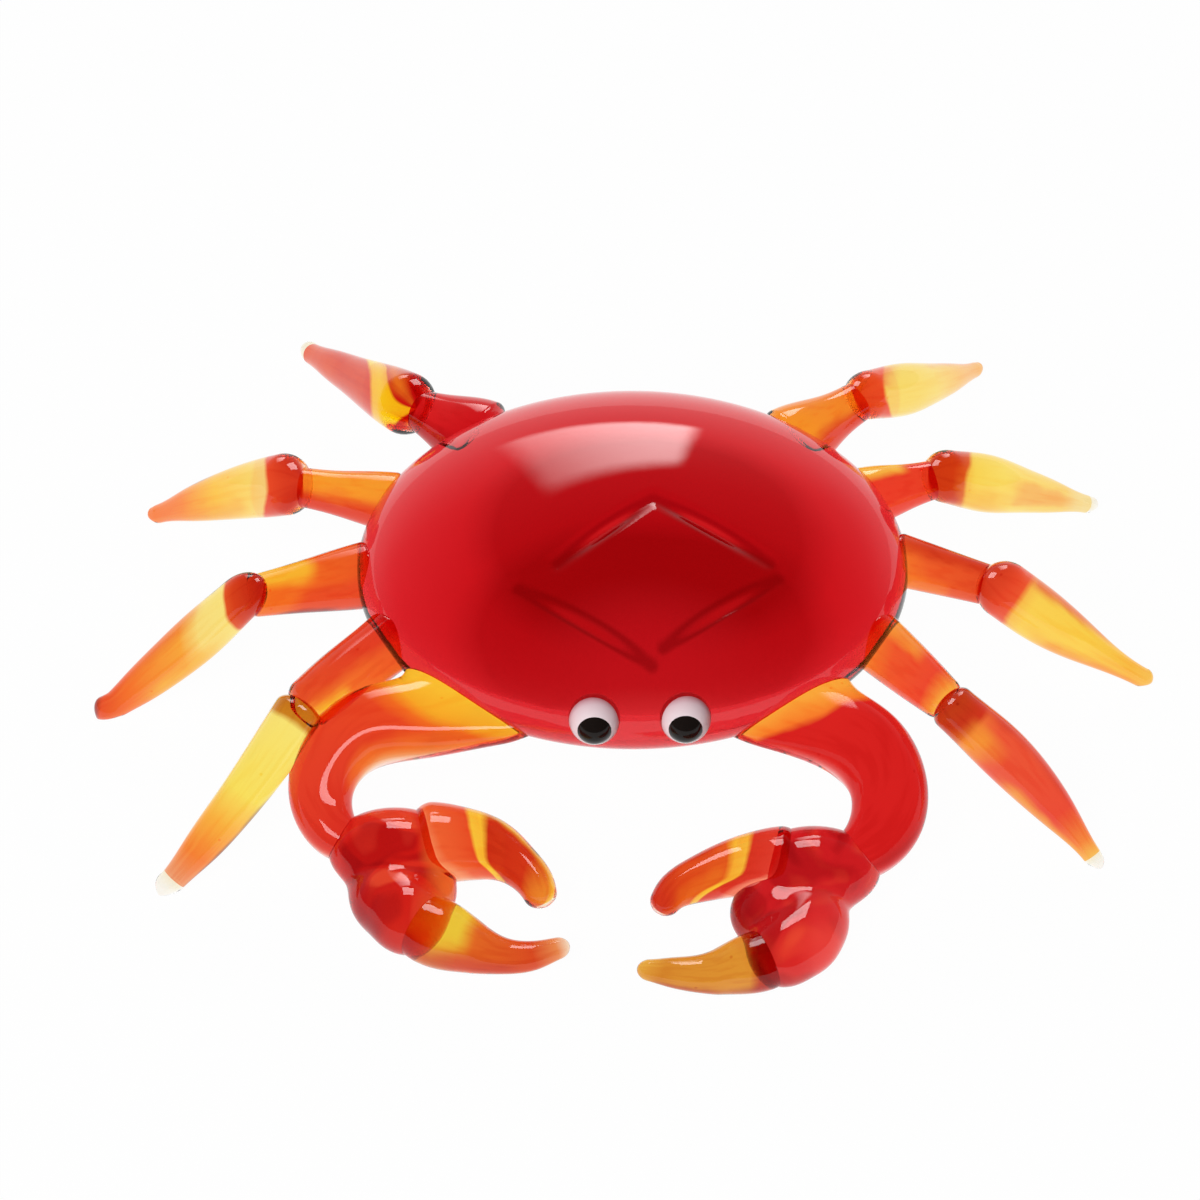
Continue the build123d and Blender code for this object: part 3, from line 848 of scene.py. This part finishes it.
# %% Palms
def palm_glass(name, deep, bright, inner, outer):
    """Red that runs from deep to bright towards the front, with swirls, an inner and an outer tone."""
    shares_per_metre = 60.0
    material, paint = start_material(f"palm_{name}_red")
    place = paint.node("TexCoord", output=3)
    cloud = place.noise(120.0, 2.0)
    across = paint.node("SeparateXYZ", Vector=place)
    web = claw_places(name, claw_runs[name][0], 0.0) * MM
    forwards = (float(web[1]) - across.other(1)) * shares_per_metre + 0.5
    inwards = (float(web[0]) - across) * (shares_per_metre * arm_runs[name][0]) + 0.5
    stops = [(0.0, *deep), (0.55, *deep), (1.0, *bright)]
    tint = (forwards + (cloud - 0.5) * 0.5).ramp(stops)
    swirl = place.noise(130.0, 1.0, Distortion=1.2)
    tint = tint.mix(swirl.window(0.56, 2.0, 0.05) * 0.75, (150, 8, 14))
    tint = tint.mix(swirl.window(-1.0, 0.4, 0.05) * 0.6, (242, 84, 50))
    warped = inwards + (cloud - 0.5) * 0.5
    tint = tint.mix(warped.window(0.66, 2.0, 0.1) * 0.75, inner)
    corner = warped.window(-2.0, 0.34, 0.1) * forwards.window(0.5, 2.0, 0.12)
    tint = tint.mix(corner * 0.75, outer)
    return finish_glass(material, paint, tint, ripple=0.03)


palm_tones = {
    "left": ((208, 26, 20), (212, 50, 34), (244, 112, 44), (146, 6, 22)),
    "right": ((206, 28, 32), (226, 46, 40), (132, 6, 12), (240, 70, 62)),
}
for name in claw_runs:
    skin(f"palm_{name}", palm_rings(name), palm_glass(name, *palm_tones[name]))
print("palms:", len(claw_runs))

# %% [markdown]
# An arm could be pushed into the shell and the palm, but a skin inside other glass shows as a dark seam
# that fused glass does not have, so it is cut where it meets them.

# %% Arms
arm_colours = {
    "left": (
        [(0.0, 254, 196, 50), (0.12, 253, 172, 40), (0.19, 246, 110, 34), (0.28, 236, 74, 36),
         (0.7, 230, 64, 40), (1.0, 220, 46, 34)],
        # The second patch, dark red along the lower edge of the left arm, is painted shade.
        [((250, 130, 44), 0.2, 0.78, 0.27, 0.09, 0.7), ((176, 20, 20), 0.0, 0.55, 0.42, 0.07, 0.8)],
        -0.05, 0.86),
    "right": (
        [(0.0, 253, 170, 60), (0.12, 252, 130, 44), (0.16, 220, 36, 32), (1.0, 214, 30, 30)],
        # This dark red stripe along the side of the right arm is painted shade.
        [((180, 10, 14), 0.2, 1.0, 0.3, 0.1, 0.7)],
        -0.05, 0.14),
}
arm_gloss = {"left": 0.5, "right": 0.2}
for name, path in arm_paths.items():
    widths = arm_runs[name][4]
    rings = drawn_rod(path, widths, arm_thicknesses(name), 1.2, 2.2, stations=129, around=72)
    rings = outside_run(rings, np.maximum(shell_depth(rings), palm_depth(name, rings)))
    glass = rod_glass(f"arm_{name}", *arm_colours[name], warp=0.08, gloss=arm_gloss[name])
    skin(f"arm_{name}", rings, glass, poles=(False, False))
print("arms:", len(arm_paths))

# %% [markdown]
# The back finger curls over from the rear lobe, the front finger carries on from the palm's root. They
# could be part of the palm's skin, but their stripes follow the rod, so they are rods that are cut
# where they leave the palm.

# %% Fingers
finger_colours = {
    "back_finger_left": (
        [(0.0, 250, 150, 100), (0.12, 242, 100, 50), (0.34, 236, 80, 38), (0.37, 254, 206, 60),
         (0.43, 254, 200, 56), (0.48, 206, 46, 20), (0.8, 214, 56, 24), (1.0, 240, 140, 44)],
        [((254, 206, 60), 0.46, 1.1, 0.2, 0.09, 0.95), ((232, 84, 36), 0.5, 1.0, 0.68, 0.1, 0.7)],
        0.06, 0.14),
    "back_finger_right": (
        [(0.0, 250, 140, 110), (0.12, 226, 60, 44), (0.32, 220, 54, 34), (0.36, 253, 200, 60),
         (0.44, 253, 190, 54), (0.5, 230, 86, 30), (0.8, 226, 76, 28), (1.0, 212, 54, 28)],
        [((200, 40, 24), 0.5, 1.1, 0.82, 0.08, 0.6), ((240, 120, 34), 0.5, 0.9, 0.2, 0.1, 0.5)],
        0.08, 0.86),
    "front_finger_left": (
        [(0.0, 240, 160, 50), (0.16, 240, 180, 56), (0.3, 230, 110, 38), (0.75, 220, 76, 34),
         (0.9, 236, 140, 80), (1.0, 252, 230, 200)],
        [((238, 204, 60), -0.1, 0.32, 0.0, 0.13, 0.95), ((206, 58, 32), -0.1, 0.65, 0.69, 0.13, 0.8)],
        0.0, 0.0),
    "front_finger_right": (
        [(0.0, 190, 40, 30), (0.1, 200, 70, 32), (0.16, 226, 150, 50), (0.8, 220, 142, 48),
         (1.0, 236, 176, 70)],
        [((176, 36, 24), 0.0, 0.8, 0.35, 0.09, 0.85)],
        0.06, 0.86),
}
finger_facing = {"left": 0.94, "right": 0.06}
front_share, neck_share = 0.97, 0.84
for name, (_, _, widths, joint, finger, finger_widths) in claw_runs.items():
    front_widths = np.array(widths[joint - 1 :]) * front_share
    front_widths[0] *= neck_share
    back = claw_places(name, finger, finger_height)
    rods = {
        f"front_finger_{name}": drawn_rod(horn_places(name)[joint - 1 :], front_widths, end_round=1.2),
        f"back_finger_{name}": drawn_rod(back, finger_widths, start_round=3.0, end_round=1.2),
    }
    for node, rings in rods.items():
        rings = outside_run(rings, palm_depth(name, rings))
        glass = rod_glass(node, *finger_colours[node], facing=finger_facing[name])
        skin(node, rings, glass, poles=(False, True))
print("fingers:", len(finger_colours))

# %% [markdown]
# Where two gathers were melted together there is no skin left between them. A boolean union would take
# those walls away, but it would make one piece of many. So the shell and the palms learn how deep they
# lie in the arms and back fingers, and their glass is clear there.

# %% Clear the walls inside joined glass
covers = {"shell": []}
for name, path in arm_paths.items():
    finger, finger_widths = claw_runs[name][4:]
    arm = (path, arm_runs[name][4], arm_thicknesses(name), False)
    covers["shell"].append(arm)
    covers[f"palm_{name}"] = [arm, (claw_places(name, finger, finger_height), finger_widths, None, True)]
for node, rods in covers.items():
    piece = bpy.data.objects[f"{node}_skin"]
    mark(piece, "covered", lambda spots: np.max([rod_depth(spots, *rod) for rod in rods], axis=0))
print("pieces with clear walls:", len(covers))

# %% [markdown]
# The eyes are beads of opaque white glass pressed into the rim, each with a dot of black glass. A
# ready-made sphere has no pole in the gaze. Here the rings run around it, so that the edge of a bead
# can be painted pink: partly the red glass over its rim, partly painted red reflection and shade.

# %% Eyes
eye_radius, pupil_radius, pupil_proud = 2.8, 2.2, 0.3
eye_gap, eye_shift, eye_rise, eye_sunk = 9.8, 0.7, 2.1, 0.9
gaze = np.array([0, -cos(radians(14)), sin(radians(14))])


def bead_rings(centre, radius, axis, stations=49, around=64):
    """Sphere about a centre, its poles on an axis."""
    side = unit(np.cross(axis, [1.0, 0, 0]))
    other = np.cross(axis, side)
    rise = np.linspace(0, pi, stations)[:, None, None]
    turn = (2 * pi * np.arange(around) / around)[None, :, None]
    flat = np.sin(rise) * (np.cos(turn) * side + np.sin(turn) * other)
    return centre + radius * (flat + np.cos(rise) * axis)


def opaque_glass(name, stops, roughness, gloss):
    """Opaque glass: colour by distance from the gaze's pole along the map, with a wet gloss."""
    material, paint = start_material(name)
    drawn = paint.node("UVMap", {"uv_map": "along_around"})
    along = paint.node("SeparateXYZ", Vector=drawn)
    place = paint.node("TexCoord", output=3)
    cloud = place.noise(600.0, 2.0)
    tint = (along + (cloud - 0.5) * 0.06).ramp(stops)
    bump = paint.node("Bump", Height=cloud, Strength=0.05, Distance=0.0003)
    shader = paint.node("BsdfPrincipled", Base_Color=tint, Roughness=roughness + 0.05 * cloud, IOR=1.2,
                        Normal=bump, Coat_Weight=gloss, Coat_Roughness=0.02)
    paint.node("OutputMaterial", Surface=shader)
    return material


# The white turns pink towards the bead's edge: partly red glass over the rim, partly painted red reflection
# and shade.
white_and_red_shine_stops = [(0.0, 254, 240, 243), (0.34, 250, 216, 223), (0.5, 232, 160, 172), (1.0, 206, 112, 124)]
white = opaque_glass("eye_white_glass", white_and_red_shine_stops, 0.08, 0.3)
black = opaque_glass("pupil_glass", [(0.0, 26, 20, 18), (1.0, 40, 30, 26)], 0.05, 0.2)
for hand, name in ((-1, "left"), (1, "right")):
    eye_x = eye_shift + hand * eye_gap / 2
    share = 1 - (eye_x / shell_half[0]) ** 2 - (eye_rise / dome_height) ** 2
    bead = shell_centre + [eye_x, -shell_half[1] * share**0.5 + eye_sunk, eye_rise]
    skin(f"eye_white_{name}", bead_rings(bead, eye_radius, gaze), white)
    dot = bead + gaze * (eye_radius + pupil_proud - pupil_radius)
    skin(f"pupil_{name}", bead_rings(dot, pupil_radius, gaze), black)

# %% [markdown]
# The stage is a white table. A plain white plane turns grey in the shade, and clear glass on it too. So
# the table shines white for rays from the camera, off the glass or through it, and is matt for other
# light.


# %% Floor
def any_ray(paint, first, *kinds):
    """1 for a ray of any of these kinds, else 0: the lesser of 1 and their sum."""
    path = paint.node("LightPath")
    total = sum((path.other(kind) for kind in kinds), path.other(first))
    return total.maths("MINIMUM", total, 1.0)


bpy.ops.mesh.primitive_plane_add(size=8.0, location=(0, 0, -0.0002))
floor = bpy.context.object
floor.name = "white_table"
table, paint = start_material("white_table")
direct = any_ray(paint, "Is Camera Ray", "Is Glossy Ray", "Is Transmission Ray")
matt = paint.node("BsdfDiffuse", Color=(0.85, 0.85, 0.85, 1.0))
glow = paint.node("Emission", Color=(1.0, 1.0, 1.0, 1.0), Strength=1.0)
both = paint.node("MixShader", Fac=direct * 0.98, in_1=matt, in_2=glow)
paint.node("OutputMaterial", Surface=both)
floor.data.materials.append(table)
print("floor:", floor.name)

# %% [markdown]
# The studio is grey near the horizon behind the figure and dark elsewhere, because dark surroundings
# keep red glass deep. A softbox gives the broad patch on the dome. A lamp would light all else too, so
# it is painted into the world, for reflections only; what is seen directly or through glass is white.

# %% World
world = bpy.data.worlds.new("studio")
scene.world = world
world.use_nodes = True
world.node_tree.nodes.clear()
sky = Value(world.node_tree, None)
across = sky.node("SeparateXYZ", Vector=sky.node("TexCoord"))
back, height = across.other(1), across.other(2)
greys = ((0.0, 0.6), (0.2, 0.5), (0.42, 0.24), (0.65, 0.08), (0.85, 0.03), (1.0, 0.02))
light = height.ramp([(share, grey, grey, grey, 1.0) for share, grey in greys])
light = light.mix(back.window(-2.0, 0.35, 0.35) * 0.96, (0.02, 0.02, 0.02, 1.0))
slant = across / back.maths("MAXIMUM", back, 0.05)
patch = (0.2 + 0.8 * slant.smooth(-0.36, 0.1)) * slant.smooth(0.155, 0.105)
patch = patch * slant.window(-0.27, 9.0, 0.05) * height.window(0.26, 2.0, 0.03)
patch = patch * (height + slant * 0.28).window(-1.0, 0.604, 0.045)
light = light.mix(patch * back.window(0.1, 2.0, 0.05), (8.0, 8.0, 8.0, 1.0))
light = light.mix(any_ray(sky, "Is Camera Ray", "Is Transmission Ray"), (1.0, 1.0, 1.0, 1.0))
background = sky.node("Background", Color=light, Strength=1.0)
sky.node("OutputWorld", Surface=background)
print("world nodes:", len(world.node_tree.nodes))

# %% [markdown]
# Small windows of light sit on the legs, the claws and the left arm. Panels around the figure would put
# several on every piece, so each lamp is linked to the pieces that show it. A wide fill from the front
# lights the eyes and the table, and shows in no gloss.

# %% Lamps
lamp_distance = 0.3


def softbox(name, place, target, width, depth, watts):
    """Rectangular lamp at a place, facing a target."""
    lamp = bpy.data.lights.new(name, "AREA")
    lamp.shape, lamp.size, lamp.size_y, lamp.energy = "RECTANGLE", width, depth, watts
    holder = bpy.data.objects.new(name, lamp)
    towards = Vector(target) - Vector(place)
    holder.location = place
    holder.rotation_euler = towards.to_track_quat("-Z", "Y").to_euler()
    scene.collection.objects.link(holder)
    return holder


def glint(name, azimuth, elevation, width, depth, watts, kinds, hand=""):
    """Small softbox that shows only as a window of light, on the pieces of some kinds and of one hand."""
    reach = lamp_distance * cos(radians(elevation))
    height = lamp_distance * sin(radians(elevation))
    place = (reach * sin(radians(azimuth)), reach * cos(radians(azimuth)), height)
    lamp = softbox(name, place, (0, 0, 0.01), width, depth, watts)
    lamp.visible_camera = lamp.visible_transmission = lamp.visible_diffuse = False
    lit = bpy.data.collections.new(f"{name}_pieces")
    for piece in scene.collection.objects:
        if piece.name.endswith(f"{hand}_skin") and piece.name.startswith(kinds):
            lit.objects.link(piece)
    lamp.light_linking.receiver_collection = lit


legs, claws = ("upper_leg", "lower_leg", "foot_drop"), ("palm", "back_finger", "front_finger")
glint("right_window", 38, 38, 0.12, 0.14, 0.5, legs, "left")
glint("left_window", -44, 38, 0.12, 0.14, 0.5, legs, "right")
glint("top_window", -3, 60, 0.13, 0.12, 0.47, claws)
glint("front_window", 160, 48, 0.5, 0.05, 0.7, ("arm",), "left")
fill = softbox("front_fill", (-0.5, -0.9, 1.1), (0, 0, 0.02), 0.9, 0.9, 19.0)
fill.visible_glossy = fill.visible_transmission = False
print("lamps:", len(bpy.data.lights))

# %% [markdown]
# The picture is taken from above the front. A wide lens close by would swell the claws, so a long one
# stands 620 mm from a point on the table and looks down at 50 degrees.

camera_data = bpy.data.cameras.new("camera")
camera_data.lens, camera_data.sensor_width = 164.2, 36.0
camera = bpy.data.objects.new("camera", camera_data)
tilt, distance = radians(50), 620
aim = np.array([-2.86, 9.17, 0.0])
camera.location = (aim - np.array([0, cos(tilt), -sin(tilt)]) * distance) * MM
camera.rotation_euler = (pi / 2 - tilt, 0, 0)
scene.collection.objects.link(camera)
scene.camera = camera
scene.view_settings.view_transform = "Standard"
